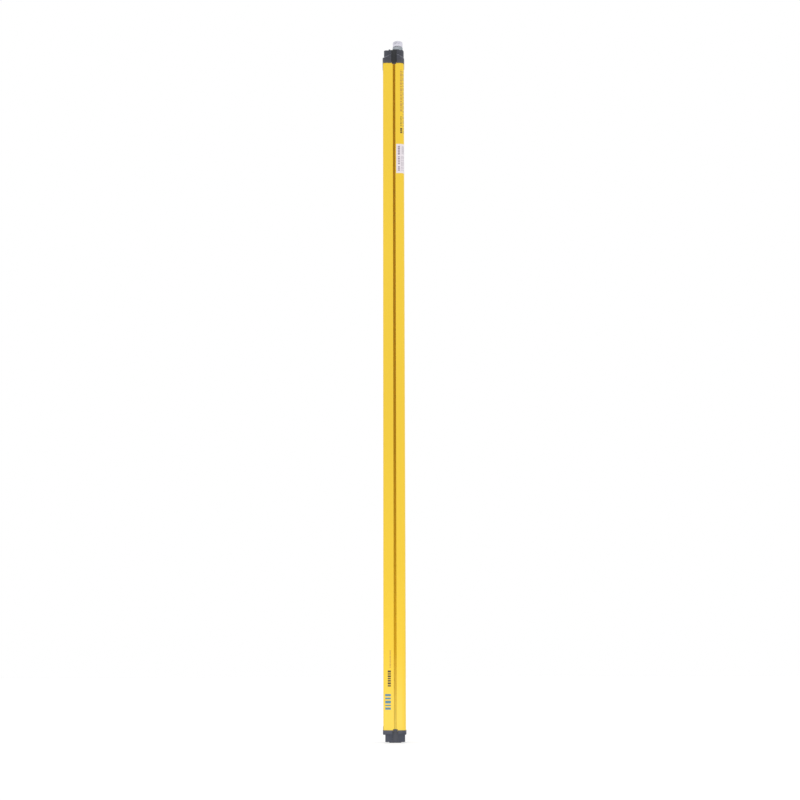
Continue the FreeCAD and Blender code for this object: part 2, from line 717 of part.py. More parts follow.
def build_module(k):
    number = "%02d" % (k + 1)
    low = d("field_start") + pitch * k
    # black carrier with the aperture tubes
    b = new_body("optics_carrier_" + number)
    s = sketch(b, "CarrierOutline", off=gap / 2)
    rect(s, -d("carrier_half"), d("carrier_half"), -d("carrier_front"), d("carrier_rear"))
    pad(b, s, pitch - gap, "Carrier")
    s = sketch(b, "LensSeat", off=gap / 2)
    rect(s, -d("lens_half") - 0.2, d("lens_half") + 0.2, -d("carrier_front") - 1, -d("carrier_front") + d("lens_thick"))
    pocket(b, s, pitch - gap, "LensSeatCut", back=True)
    s = sketch(b, "TubeCircles", "XZ_Plane", off=d("carrier_front") + 1)
    for i in range(beams):
        circle(s, 0, beam_pitch * (i + 0.5), d("tube_radius"))
    pocket(b, s, size(1.0) + size(17.6), "Tubes")
    s = sketch(b, "DiodeHoles", "XZ_Plane", off=-d("carrier_rear") - 1)
    for i in range(beams):
        circle(s, 0, beam_pitch * (i + 0.5), d("diode_radius") + 0.3)
    pocket(b, s, size(6.0), "DiodeHoleCut", back=True)
    s = sketch(b, "SideLightening", off=gap / 2)
    for sign in (1, -1):
        rect(s, sign * size(8.0), sign * (d("carrier_half") - 1.6), -size(13.6), d("carrier_rear") + 1)
    pocket(b, s, pitch - gap, "SideLighteningCut", back=True)
    lift(b, low)
    # lens strip
    b = new_body("lens_strip_" + number)
    s = sketch(b, "StripOutline", off=gap / 2)
    rect(s, -d("lens_half"), d("lens_half"), -d("carrier_front"), -d("carrier_front") + d("lens_thick"))
    pad(b, s, pitch - gap, "Strip")
    s = sketch(b, "LensCircles", "XZ_Plane", off=d("carrier_front"))
    for i in range(beams):
        circle(s, 0, beam_pitch * (i + 0.5), d("lens_radius"))
    pad(b, s, d("lens_rise"), "Lenses")
    rim = -VALUES["carrier_front"] - VALUES["lens_rise"]
    dress(b, "Fillet", size(1.3), lambda e: abs(mid(e).y - rim) < 0.01, "LensRounding")
    lift(b, low)
    # circuit board
    b = new_body("optics_board_" + number)
    s = sketch(b, "BoardOutline", off=gap)
    rect(s, -d("board_half"), d("board_half"), d("carrier_rear"), d("carrier_rear") + d("board_thick"))
    pad(b, s, pitch - gap * 2, "Board")
    s = sketch(b, "ChipOutline", "XZ_Plane", off=-d("carrier_rear") - d("board_thick"))
    for z in (40.0, 96.0):
        rect(s, -size(9.0), -size(2.0), size(z), size(z + 10.0))
    pad(b, s, size(1.4), "Chips", back=True)
    lift(b, low)


for k in range(count):
    build_module(k)

rear = VALUES["carrier_rear"]
board_back = rear + VALUES["board_thick"]
diodes, links = [], []
for k in range(count):
    z0 = VALUES["field_start"] + 150.0 * k
    for i in range(beams):
        z = z0 + 150.0 / beams * (i + 0.5)
        rod = Part.makeCylinder(VALUES["diode_radius"], 2.6, V(0, rear, z), V(0, -1, 0))
        dome = Part.makeSphere(VALUES["diode_radius"], V(0, rear - 2.6, z), V(0, -1, 0), 0, 90, 360)
        diodes.append(rod.fuse(dome))
    if k:
        links.append(Part.makeBox(11.0, 4.2, 13.0, V(-5.5, board_back, z0 - 6.5)))
group("infrared_diodes", diodes)
group("module_plugs", links)

# ---------------------------------------------------------------- control electronics
ctl_y = 12.0
ctl_low, ctl_high = 1552.0, 1696.0
b = new_body("control_board")
s = sketch(b, "ControlOutline", off=size(ctl_low))
rect(s, -d("board_half"), d("board_half"), size(ctl_y), size(ctl_y) + d("board_thick"))
pad(b, s, size(ctl_high - ctl_low), "ControlBoard")

# parts soldered to it: plug to the module chain, loom header and output drivers
s = sketch(b, "StackOutline", off=size(1646.0))
rect(s, -size(8.0), size(8.0), d("carrier_rear") + d("board_thick"), size(ctl_y))
pad(b, s, size(6.0), "Stack")
s = sketch(b, "HeaderOutline", off=size(1668.0))
rect(s, -size(11.0), size(11.0), size(ctl_y) + d("board_thick"), size(21.0))
pad(b, s, size(12.0), "Header")
s = sketch(b, "DriverOutline", off=size(1600.0))
for x in (-12.5, 2.5):
    rect(s, size(x), size(x + 10.0), size(ctl_y) + d("board_thick"), size(16.6))
pad(b, s, size(14.0), "Drivers")

spacers = []
for x in (-10.5, 10.5):
    for z in (1562.0, 1650.0):
        spacers.append(Part.makeCylinder(3.0, VALUES["cav_rear"] - ctl_y - VALUES["board_thick"],
                                         V(x, ctl_y + VALUES["board_thick"], z), V(0, 1, 0)))
group("board_spacers", spacers)

# loom from the connector to the header: straight runs joined by tangent arcs
def loom(points, radius, bend):
    edges = []
    last = V(*points[0])
    for i in range(1, len(points) - 1):
        p0, p1, p2 = V(*points[i - 1]), V(*points[i]), V(*points[i + 1])
        a, c = (p0 - p1).normalize(), (p2 - p1).normalize()
        turn = math.pi - a.getAngle(c)
        cutback = bend * math.tan(turn / 2)
        s0, s1 = p1 + a * cutback, p1 + c * cutback
        way = (a + c).normalize()
        centre = p1 + way * (bend / math.cos(turn / 2))
        middle = centre - way * bend
        edges.append(Part.LineSegment(last, s0).toShape())
        edges.append(Part.Arc(s0, middle, s1).toShape())
        last = s1
    edges.append(Part.LineSegment(last, V(*points[-1])).toShape())
    path = Part.Wire(edges)
    ring = Part.Wire([Part.Circle(V(*points[0]), V(*points[1]) - V(*points[0]), radius).toShape()])
    tube = path.makePipeShell([ring], True, True)
    expected = math.pi * radius * radius * path.Length
    if abs(tube.Volume - expected) > 0.02 * expected:
        raise RuntimeError("loom volume %.1f, expected %.1f" % (tube.Volume, expected))
    print("loom length %.1f, bend radius %.1f" % (path.Length, bend))
    return tube


cy = VALUES["conn_y"]
wires = doc.addObject("Part::Feature", "connector_loom")
wires.Label = "connector_loom"
wires.Shape = loom([(0, cy, 1742.5), (0, cy, 1708.0), (0, 17.3, 1696.0), (0, 17.3, 1680.0)], 2.4, 9.0)
NODES.append(wires)

# display in the front tongue of the top cap
disp_z = d("bar_length") - d("top_cap_height")
b = new_body("display_lens")
s = sketch(b, "LensPlate", "XZ_Plane", off=half_d - 1.95)
rect(s, -size(11.5), size(11.5), -size(13.9), -size(3.1))
pad(b, s, size(2.0), "LensPlatePad")
lift(b, disp_z)
b = new_body("display_module")
s = sketch(b, "SegmentBlock", "XZ_Plane", off=size(14.6))
rect(s, -size(2.4), size(9.0), -size(12.6), -size(4.4))
pad(b, s, size(9.0), "SegmentBlockPad")
lift(b, disp_z)
b = new_body("display_board")
s = sketch(b, "DisplayBoardOutline", "XZ_Plane", off=size(13.0))
rect(s, -size(13.0), size(13.0), -size(13.4), size(5.0))
pad(b, s, size(1.6), "DisplayBoardPad")
lift(b, disp_z)
leds = []
for z in (-11.0, -8.5, -6.0):
    rod = Part.makeCylinder(0.95, 6.4, V(-7.0, -14.6, z), V(0, -1, 0))
    dome = Part.makeSphere(0.95, V(-7.0, -21.0, z), V(0, -1, 0), 0, 90, 360)
    leds.append(rod.fuse(dome))
group("status_leds", leds, V(0, 0, VALUES["bar_length"] - VALUES["top_cap_height"]))

# foam block that holds the module chain against the control end
b = new_body("chain_pad")
s = sketch(b, "PadOutline", off=size(6.0))
rect(s, -size(13.0), size(13.0), -size(17.0), size(2.0))
pad(b, s, size(28.2), "PadBlock")

# adhesive label on the right side face, wrapped round the rear corner
b = new_body("label_sticker")
s = sketch(b, "LabelSection", off=size(1401.6))
hw, hd, rr = half_w, half_d, d("rear_radius")
t0, t1 = size(0.0), size(0.18)
cx, cyy = hw - rr, hd - rr
# outer and inner arcs of the bend, flat run on the side, short run on the rear
geo = []
inner = Part.ArcOfCircle(Part.Circle(V(cx.v, cyy.v, 0), V(0, 0, 1), rr.v), 0, math.pi / 2)
outer = Part.ArcOfCircle(Part.Circle(V(cx.v, cyy.v, 0), V(0, 0, 1), rr.v + 0.18), 0, math.pi / 2)
s.addGeometry([inner, outer], False)
pts = [
    (hw, cyy), (hw, size(6.6)), (hw + t1, size(6.6)), (hw + t1, cyy),
]
pts2 = [
    (cx, hd + t1), (cx - 5.0, hd + t1), (cx - 5.0, hd), (cx, hd),
]
first = s.GeometryCount
for chain in (pts, pts2):
    for a, c in zip(chain[:-1], chain[1:]):
        s.addGeometry(Part.LineSegment(V(a[0].v, a[1].v, 0), V(c[0].v, c[1].v, 0)), False)
# chain: inner arc start (hw, cyy) .. side run .. outer arc start, outer arc end .. rear run .. inner arc end
C = Sketcher.Constraint
s.addConstraint(C("Coincident", 0, 1, first + 0, 1))
s.addConstraint(C("Coincident", first + 0, 2, first + 1, 1))
s.addConstraint(C("Coincident", first + 1, 2, first + 2, 1))
s.addConstraint(C("Coincident", first + 2, 2, 1, 1))
s.addConstraint(C("Coincident", 1, 2, first + 3, 1))
s.addConstraint(C("Coincident", first + 3, 2, first + 4, 1))
s.addConstraint(C("Coincident", first + 4, 2, first + 5, 1))
s.addConstraint(C("Coincident", first + 5, 2, 0, 2))
place_point(s, 0, 3, cx, cyy)
place_point(s, 1, 3, cx, cyy)
for i, p in enumerate(pts[:-1]):
    place_point(s, first + i, 1, *p)
place_point(s, 1, 1, *pts[3])
for i, p in enumerate(pts2[1:3]):
    place_point(s, first + 4 + i, 1, *p)
k0 = s.addConstraint(C("DistanceX", -1, 1, 1, 2, cx.v))
s.setExpression("Constraints[%d]" % k0, cx.t)
k0 = s.addConstraint(C("DistanceX", -1, 1, 0, 2, cx.v))
s.setExpression("Constraints[%d]" % k0, cx.t)
pad(b, s, size(77.4), "Label")

# ---------------------------------------------------------------- check and write
doc.recompute()
for obj in doc.Objects:
    if "Invalid" in obj.State or "Error" in obj.State:
        raise RuntimeError("%s is %s" % (obj.Label, obj.State))
for obj in NODES:
    shape = obj.Shape
    if shape.isNull() or not shape.isValid() or not shape.Solids:
        raise RuntimeError("%s has no valid solid" % obj.Label)
os.makedirs("parts", exist_ok=True)
for obj in NODES:
    shape = obj.Shape
    box = shape.BoundBox
    print("%-22s solids %3d volume %12.1f  x %.2f..%.2f y %.2f..%.2f z %.2f..%.2f" % (
        obj.Label, len(shape.Solids), shape.Volume, box.XMin, box.XMax, box.YMin, box.YMax, box.ZMin, box.ZMax))
    shape.exportStep("parts/%s.step" % obj.Label)
print(len(NODES), "nodes")
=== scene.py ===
import bmesh
import bpy
import json
import math
import random
from mathutils import Matrix, Vector


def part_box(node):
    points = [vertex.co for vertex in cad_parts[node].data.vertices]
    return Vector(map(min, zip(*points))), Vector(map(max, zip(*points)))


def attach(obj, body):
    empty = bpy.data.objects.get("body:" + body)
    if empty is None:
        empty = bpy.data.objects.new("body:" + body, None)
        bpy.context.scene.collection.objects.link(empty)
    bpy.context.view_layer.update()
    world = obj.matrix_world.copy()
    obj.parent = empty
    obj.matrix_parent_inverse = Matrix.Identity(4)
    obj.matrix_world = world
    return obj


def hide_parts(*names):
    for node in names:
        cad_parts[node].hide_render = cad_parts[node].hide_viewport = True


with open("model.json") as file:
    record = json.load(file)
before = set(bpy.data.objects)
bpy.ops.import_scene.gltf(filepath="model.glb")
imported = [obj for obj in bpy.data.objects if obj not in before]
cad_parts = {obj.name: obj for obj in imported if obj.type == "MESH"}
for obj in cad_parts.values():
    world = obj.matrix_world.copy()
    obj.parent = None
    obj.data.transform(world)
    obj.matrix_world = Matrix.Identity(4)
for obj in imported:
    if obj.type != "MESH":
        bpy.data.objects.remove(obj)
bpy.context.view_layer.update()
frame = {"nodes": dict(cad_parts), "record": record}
NODES = frame["nodes"]
random.seed(11)
MM = 0.001
scene = bpy.context.scene
scene.view_settings.view_transform = "Standard"
scene.view_settings.look = "None"
scene.view_settings.exposure = 0.0
scene.view_settings.gamma = 1.0

# ------------------------------------------------------------------ places, from the frame
prof_lo, prof_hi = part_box("housing_profile")
top_lo, top_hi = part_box("top_cap")
bot_lo, bot_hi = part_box("bottom_cap")
con_lo, con_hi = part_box("connector_shell")
lab_lo, lab_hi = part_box("label_sticker")
SIDE = prof_hi[0]                    # side face of the housing
REAR = prof_hi[1]                    # rear face
FRONT = prof_lo[1]
BAR_TOP = top_hi[2]
CON_Y = 0.5 * (con_lo[1] + con_hi[1])
SLOT_Y = 0.0015


# ------------------------------------------------------------------ camera
def camera():
    cam = bpy.data.cameras.new("camera")
    cam.sensor_fit = "HORIZONTAL"
    cam.sensor_width = 36.0
    cam.lens = 36.0 * 1443.0 / 800.0
    cam.clip_start = 0.05
    cam.clip_end = 60.0
    ob = bpy.data.objects.new("camera", cam)
    bpy.context.collection.objects.link(ob)
    pitch, yaw, roll = math.radians(10.62), math.radians(0.240), math.radians(0.158)
    ahead = Vector((-math.cos(pitch) * math.cos(yaw), math.cos(pitch) * math.sin(yaw), math.sin(pitch)))
    right = ahead.cross(Vector((0, 0, 1))).normalized()
    up = right.cross(ahead).normalized()
    turn = Matrix.Rotation(roll, 3, ahead)
    right, up = turn @ right, turn @ up
    m = Matrix((right, up, -ahead)).transposed().to_4x4()
    m.translation = Vector((3.5, 0.0, 0.167))
    ob.matrix_world = m
    scene.camera = ob
    return ob


camera()


# ------------------------------------------------------------------ material helpers
class Nodes:
    def __init__(self, name):
        self.mat = bpy.data.materials.new(name)
        self.mat.use_nodes = True
        self.t = self.mat.node_tree
        self.t.nodes.clear()
        self.out = self.t.nodes.new("ShaderNodeOutputMaterial")
        self.bsdf = self.t.nodes.new("ShaderNodeBsdfPrincipled")
        self.link(self.bsdf.outputs[0], self.out.inputs["Surface"])
        self.coord = self.t.nodes.new("ShaderNodeTexCoord").outputs["Object"]

    def link(self, a, b):
        self.t.links.new(a, b)

    def new(self, kind, **inputs):
        n = self.t.nodes.new(kind)
        for k, v in inputs.items():
            n.inputs[k.replace("_", " ")].default_value = v
        return n

    def stretch(self, scale):
        m = self.t.nodes.new("ShaderNodeMapping")
        m.inputs["Scale"].default_value = scale
        self.link(self.coord, m.inputs["Vector"])
        return m.outputs["Vector"]

    def noise(self, scale, detail=3.0, rough=0.5, stretch=None):
        n = self.t.nodes.new("ShaderNodeTexNoise")
        n.inputs["Scale"].default_value = scale
        n.inputs["Detail"].default_value = detail
        n.inputs["Roughness"].default_value = rough
        self.link(self.stretch(stretch) if stretch else self.coord, n.inputs["Vector"])
        return n.outputs["Fac"]

    def voronoi(self, scale, stretch=None):
        n = self.t.nodes.new("ShaderNodeTexVoronoi")
        n.inputs["Scale"].default_value = scale
        self.link(self.stretch(stretch) if stretch else self.coord, n.inputs["Vector"])
        return n.outputs["Distance"]

    def ramp(self, value, stops):
        r = self.t.nodes.new("ShaderNodeValToRGB")
        e = r.color_ramp.elements
        while len(e) < len(stops):
            e.new(0.5)
        for el, (pos, col) in zip(e, stops):
            el.position = pos
            el.color = col if len(col) == 4 else (*col, 1.0)
        self.link(value, r.inputs["Fac"])
        return r.outputs["Color"]

    def mix(self, fac, a, b, mode="MIX"):
        m = self.t.nodes.new("ShaderNodeMix")
        m.data_type = "RGBA"
        m.blend_type = mode
        if isinstance(fac, float):
            m.inputs["Factor"].default_value = fac
        else:
            self.link(fac, m.inputs["Factor"])
        for sock, v in (("A", a), ("B", b)):
            s = [i for i in m.inputs if i.name == sock and i.type == "RGBA"][0]
            if isinstance(v, tuple):
                s.default_value = v if len(v) == 4 else (*v, 1.0)
            else:
                self.link(v, s)
        return [o for o in m.outputs if o.type == "RGBA"][0]

    def range(self, value, lo, hi, a=0.0, b=1.0):
        m = self.t.nodes.new("ShaderNodeMapRange")
        m.inputs["From Min"].default_value = lo
        m.inputs["From Max"].default_value = hi
        m.inputs["To Min"].default_value = a
        m.inputs["To Max"].default_value = b
        self.link(value, m.inputs["Value"])
        return m.outputs["Result"]

    def math(self, op, a, b):
        m = self.t.nodes.new("ShaderNodeMath")
        m.operation = op
        for i, v in enumerate((a, b)):
            if isinstance(v, (int, float)):
                m.inputs[i].default_value = v
            else:
                self.link(v, m.inputs[i])
        return m.outputs[0]

    def color(self, v):
        if isinstance(v, tuple):
            self.bsdf.inputs["Base Color"].default_value = v if len(v) == 4 else (*v, 1.0)
        else:
            self.link(v, self.bsdf.inputs["Base Color"])

    def rough(self, v):
        if isinstance(v, (int, float)):
            self.bsdf.inputs["Roughness"].default_value = v
        else:
            self.link(v, self.bsdf.inputs["Roughness"])

    def bump(self, height, strength, distance, below=None):
        b = self.t.nodes.new("ShaderNodeBump")
        b.inputs["Strength"].default_value = strength
        b.inputs["Distance"].default_value = distance
        self.link(height, b.inputs["Height"])
        if below is not None:
            self.link(below, b.inputs["Normal"])
        self.link(b.outputs["Normal"], self.bsdf.inputs["Normal"])
        return b.outputs["Normal"]

    def set(self, **kw):
        for k, v in kw.items():
            self.bsdf.inputs[k.replace("_", " ")].default_value = v


def srgb(r, g, b):
    def lin(c):
        c /= 255.0
        return c / 12.92 if c <= 0.04045 else ((c + 0.055) / 1.055) ** 2.4
    return (lin(r), lin(g), lin(b))


# ------------------------------------------------------------------ materials
def make_housing_paint():
    n = Nodes("housing_paint")
    cloud = n.noise(3.0, 4.0, 0.55, (1, 1, 0.6))
    fine = n.noise(900.0, 2.0, 0.5)
    base = n.ramp(cloud, [(0.30, srgb(239, 199, 36)), (0.72, srgb(244, 205, 40))])
    # rubbed dust, a little greyer, in long soft streaks
    streak = n.noise(14.0, 5.0, 0.6, (1, 1, 0.12))
    dust = n.range(streak, 0.62, 0.80, 0.0, 0.10)
    base = n.mix(dust, base, srgb(232, 208, 124))
    # small rubs and specks
    speck = n.voronoi(260.0)
    speck_mask = n.range(speck, 0.045, 0.02, 0.0, 0.35)
    base = n.mix(speck_mask, base, srgb(200, 158, 40))
    # the side grooves are painted darker: painted shade standing in for the little light that gets down into them
    split = n.t.nodes.new("ShaderNodeSeparateXYZ")
    n.link(n.coord, split.inputs[0])
    depth = n.range(n.math("ABSOLUTE", split.outputs["X"], 0.0), SIDE - 0.0003, SIDE - 0.0022, 0.0, 1.0)
    near = n.range(n.math("ABSOLUTE", n.math("SUBTRACT", split.outputs["Y"], SLOT_Y), 0.0), 0.0088, 0.0072, 0.0, 1.0)
    in_slot = n.math("MULTIPLY", depth, near)
    # the foot is painted paler and lighter, a painted stand-in for the floor's bounce light, most of all in the
    # grooves
    low = n.range(split.outputs["Z"], 0.22, 0.05, 0.0, 1.0)
    base = n.mix(low, base, srgb(242, 205, 60))
    base = n.mix(n.math("MULTIPLY", low, in_slot), base, srgb(249, 228, 106))
    # painted shade in the grooves, darkest high up and fading towards the foot, broken up a little by noise
    slot_shade_noise = n.range(n.noise(40.0, 4.0, 0.6, (1, 1, 0.2)), 0.3, 0.7, 0.88, 1.0)
    height = n.range(split.outputs["Z"], 0.0, 1.0, 0.0, 1.0)
    grade = n.ramp(height, [(0.04, (0.06, 0.06, 0.06)), (0.12, (0.12, 0.12, 0.12)), (0.30, (0.33, 0.33, 0.33)),
                            (0.45, (0.62, 0.62, 0.62)), (0.66, (0.84, 0.84, 0.84)), (1.0, (1.0, 1.0, 1.0))])
    base = n.mix(n.math("MULTIPLY", n.math("MULTIPLY", in_slot, slot_shade_noise), grade), base, srgb(206, 151, 20))
    n.color(base)
    n.rough(n.range(streak, 0.3, 0.8, 0.36, 0.48))
    n.bump(fine, 0.10, 0.00025)
    n.link(n.range(in_slot, 0.0, 1.0, 0.5, 0.12), n.bsdf.inputs["Specular IOR Level"])
    n.link(n.range(in_slot, 0.0, 1.0, 0.10, 0.0), n.bsdf.inputs["Coat Weight"])
    n.set(Coat_Roughness=0.28)
    return n.mat


def make_window():
    n = Nodes("window_pane")
    n.color(n.ramp(n.noise(30.0, 3.0), [(0.3, (0.010, 0.007, 0.009)), (0.8, (0.016, 0.010, 0.013))]))
    n.rough(n.range(n.noise(8.0, 4.0, 0.6, (1, 1, 0.3)), 0.35, 0.75, 0.05, 0.13))
    n.set(IOR=1.49, Alpha=0.72)
    return n.mat


def make_plastic(name, col, col2, rough=(0.42, 0.58), grain=1400.0, strength=0.25, dist=0.0003, dust=None):
    n = Nodes(name)
    a = n.noise(22.0, 4.0, 0.6)
    base = n.ramp(a, [(0.30, col), (0.75, col2)])
    if dust:
        d = n.range(n.noise(60.0, 6.0, 0.65), 0.58, 0.80, 0.0, dust)
        base = n.mix(d, base, srgb(150, 148, 146))
    n.color(base)
    n.rough(n.range(n.noise(45.0, 3.0), 0.3, 0.7, rough[0], rough[1]))
    n.bump(n.noise(grain, 2.0, 0.6), strength, dist)
    return n.mat


def make_cap_plastic():
    n = Nodes("cap_plastic")
    a = n.noise(22.0, 4.0, 0.6)
    base = n.ramp(a, [(0.30, srgb(47, 49, 59)), (0.75, srgb(57, 59, 70))])
    split = n.t.nodes.new("ShaderNodeSeparateXYZ")
    n.link(n.coord, split.inputs[0])
    off = n.math("ABSOLUTE", n.math("SUBTRACT", split.outputs["Y"], SLOT_Y), 0.0)
    # the outer thirds are painted a little lighter grey: partly rubbed dust, partly painted shade that leaves the
    # faces near the channel darker
    base = n.mix(n.range(off, 0.013, 0.026, 0.0, 0.30), base, srgb(98, 98, 108))
    d = n.range(n.noise(60.0, 6.0, 0.65), 0.58, 0.80, 0.0, 0.22)
    base = n.mix(d, base, srgb(140, 138, 142))
    # the lips round the housing ends are moulded a little darker
    lip_top = n.math("MULTIPLY", n.range(split.outputs["Z"], 0.9, 1.0, 0.0, 1.0),
                     n.range(split.outputs["Z"], BAR_TOP - 0.0262, BAR_TOP - 0.0272, 0.0, 1.0))
    lip_low = n.range(split.outputs["Z"], 0.0180, 0.0195, 0.0, 0.6)
    lip_low = n.math("MULTIPLY", lip_low, n.range(split.outputs["Z"], 0.10, 0.06, 0.0, 1.0))
    base = n.mix(n.math("MULTIPLY", n.math("MAXIMUM", lip_top, lip_low), 0.55), base, srgb(38, 37, 44))
    # and the foot cap is a shade bluer
    base = n.mix(n.range(split.outputs["Z"], 0.10, 0.06, 0.0, 0.5), base, srgb(50, 57, 75))
    # the channel walls and floors are painted darker than the outer faces: painted shade in the recess, deepest on
    # the top cap and lighter towards the foot cap
    inside = n.range(off, 0.00705, 0.00675, 0.0, 1.0)
    wide = n.range(n.math("ABSOLUTE", split.outputs["X"], 0.0), 0.0190, 0.0194, 0.0, 1.0)
    high = n.range(split.outputs["Z"], 0.30, 0.60, 0.25, 1.0)
    base = n.mix(n.math("MULTIPLY", n.math("MULTIPLY", inside, wide), high), base, srgb(28, 31, 36))
    # painted highlight along the sloped gable edge of the top cap, where the chamfer faces up and out
    geo = n.t.nodes.new("ShaderNodeNewGeometry")
    face = n.t.nodes.new("ShaderNodeSeparateXYZ")
    n.link(geo.outputs["True Normal"], face.inputs[0])
    tilt = n.math("MULTIPLY", n.range(face.outputs["Z"], 0.28, 0.40, 0.0, 1.0),
                  n.range(face.outputs["Z"], 0.80, 0.74, 0.0, 1.0))
    band = n.math("MULTIPLY", n.range(split.outputs["Z"], BAR_TOP - 0.0265, BAR_TOP - 0.0255, 0.0, 1.0),
                  n.range(split.outputs["Z"], BAR_TOP - 0.0125, BAR_TOP - 0.0135, 0.0, 1.0))
    base = n.mix(n.math("MULTIPLY", n.math("MULTIPLY", tilt, band), 0.85), base, srgb(176, 176, 190))
    # convex corners painted lighter: partly rubbed wear, partly painted highlight
    rub_and_highlight = n.range(geo.outputs["Pointiness"], 0.56, 0.66, 0.0, 0.30)
    base = n.mix(rub_and_highlight, base, srgb(142, 142, 152))
    # the tip of the guide tongue carries the paint dust of the groove
    tip = n.math("MULTIPLY", n.range(split.outputs["Z"], BAR_TOP - 0.0398, BAR_TOP - 0.0402, 0.0, 1.0),
                 n.range(split.outputs["Z"], 0.9, 1.0, 0.0, 1.0))
    base = n.mix(n.math("MULTIPLY", tip, n.range(off, 0.0060, 0.0058, 0.0, 1.0)), base, srgb(196, 144, 24))
    n.color(base)
    n.rough(n.range(n.noise(45.0, 3.0), 0.3, 0.7, 0.40, 0.55))
    n.bump(n.noise(1400.0, 2.0, 0.6), 0.25, 0.0003)
    return n.mat


def make_metal(name, col, rough=(0.22, 0.38), turned=False):
    n = Nodes(name)
    n.color(n.ramp(n.noise(60.0, 4.0, 0.6), [(0.3, tuple(c * 0.88 for c in col)), (0.7, col)]))
    if turned:
        lines = n.noise(900.0, 3.0, 0.6, (0.15, 0.15, 4.0))
    else:
        lines = n.noise(800.0, 3.0, 0.6)
    n.rough(n.range(lines, 0.3, 0.7, rough[0], rough[1]))
    n.bump(lines, 0.12, 0.00012)
    n.set(Metallic=1.0)
    return n.mat


def make_connector_metal():
    """Nickel: the ribbed upper collar is bright, the body under it darker."""
    n = Nodes("connector_metal")
    split = n.t.nodes.new("ShaderNodeSeparateXYZ")
    n.link(n.coord, split.inputs[0])
    upper = n.range(split.outputs["Z"], BAR_TOP + 0.0106, BAR_TOP + 0.0114, 0.0, 1.0)
    wear = n.noise(60.0, 4.0, 0.6)
    bright = n.ramp(wear, [(0.3, (0.68, 0.67, 0.74)), (0.7, (0.77, 0.76, 0.83))])
    lower_body_dark = n.ramp(wear, [(0.3, (0.33, 0.36, 0.39)), (0.7, (0.41, 0.44, 0.47))])
    n.color(n.mix(upper, lower_body_dark, bright))
    lines = n.noise(900.0, 3.0, 0.6, (0.15, 0.15, 4.0))
    n.rough(n.range(lines, 0.3, 0.7, 0.40, 0.54))
    n.bump(lines, 0.10, 0.00010)
    n.set(Metallic=1.0)
    return n.mat


def make_rubber(name, v=0.012):
    n = Nodes(name)
    n.color(n.ramp(n.noise(80.0, 4.0), [(0.3, (v, v, v)), (0.8, (v * 1.8, v * 1.8, v * 1.8))]))
    n.rough(0.8)
    n.bump(n.noise(1500.0, 2.0), 0.3, 0.0002)
    return n.mat


def make_board():
    n = Nodes("circuit_board")
    trace = n.range(n.voronoi(420.0, (1, 1, 0.3)), 0.25, 0.28, 0.0, 1.0)
    n.color(n.mix(trace, (0.006, 0.055, 0.020), (0.012, 0.10, 0.035)))
    n.rough(0.35)
    n.bump(trace, 0.2, 0.00005)
    return n.mat


def make_lens():
    n = Nodes("lens_clear")
    n.color(n.ramp(n.noise(40.0, 3.0), [(0.3, (0.20, 0.17, 0.19)), (0.8, (0.27, 0.23, 0.26))]))
    n.rough(n.range(n.noise(200.0, 2.0), 0.3, 0.7, 0.04, 0.09))
    n.set(IOR=1.5, Coat_Weight=0.6, Coat_Roughness=0.03)
    return n.mat


def make_label():
    n = Nodes("label_film")
    n.color(n.ramp(n.noise(45.0, 5.0, 0.6), [(0.25, srgb(226, 217, 223)), (0.75, srgb(236, 228, 233))]))
    n.rough(n.range(n.noise(300.0, 2.0), 0.3, 0.7, 0.32, 0.45))
    n.bump(n.noise(500.0, 3.0), 0.08, 0.0002)
    return n.mat


def make_ink(name, col, worn=0.25):
    n = Nodes(name)
    a = n.noise(1300.0, 3.0, 0.6)
    n.color(n.ramp(a, [(0.35, col), (0.85, tuple(c * (1 - worn) + 0.6 * worn * w for c, w in zip(col, (0.9, 0.6, 0.1))))]))
    n.rough(n.range(a, 0.3, 0.7, 0.38, 0.52))
    return n.mat


MATS = {
    "housing_paint": make_housing_paint(),
    "window_pane": make_window(),
    "seal_rubber": make_rubber("seal_rubber"),
    "gasket_rubber": make_rubber("gasket_rubber", 0.02),
    "cap_plastic": make_cap_plastic(),
    "screw_steel": make_metal("screw_steel", (0.62, 0.62, 0.65)),
    "connector_metal": make_connector_metal(),
    "insert_plastic": make_plastic("insert_plastic", srgb(24, 24, 26), srgb(34, 34, 36)),
    "contact_metal": make_metal("contact_metal", (0.83, 0.61, 0.26), (0.18, 0.28)),
    "diode_resin": make_plastic("diode_resin", srgb(20, 16, 26), srgb(36, 28, 44), (0.08, 0.14), 600.0, 0.05),
    "plug_plastic": make_plastic("plug_plastic", srgb(214, 208, 190), srgb(226, 221, 205)),
    "circuit_board": make_board(),
    "loom_jacket": make_plastic("loom_jacket", srgb(34, 34, 36), srgb(46, 46, 48)),
    "display_clear": make_plastic("display_clear", srgb(26, 18, 20), srgb(34, 24, 26), (0.05, 0.10), 300.0, 0.02),
    "display_block": make_plastic("display_block", srgb(30, 30, 32), srgb(42, 42, 44), (0.3, 0.4)),
    "led_resin": make_plastic("led_resin", srgb(214, 214, 206), srgb(232, 232, 226), (0.15, 0.25), 300.0, 0.05),
    "pad_foam": make_plastic("pad_foam", srgb(38, 38, 40), srgb(58, 58, 60), (0.8, 0.95), 900.0, 0.8, 0.0006),
    "label_film": make_label(),
    "carrier_plastic": make_plastic("carrier_plastic", srgb(16, 16, 18), srgb(24, 24, 26), (0.55, 0.7)),
    "lens_clear": make_lens(),
}
MATS["display_clear"].node_tree.nodes["Principled BSDF"].inputs["Alpha"].default_value = 0.55

SLOT_OF = {}
for part in frame["record"]["subparts"]:
    SLOT_OF[part["node"]] = part["material_slot"]


def dress_node(name, ob):
    mat = MATS[SLOT_OF[name]]
    if not ob.material_slots:
        ob.data.materials.append(mat)
    for slot in ob.material_slots:
        slot.material = mat


for name, ob in NODES.items():
    dress_node(name, ob)
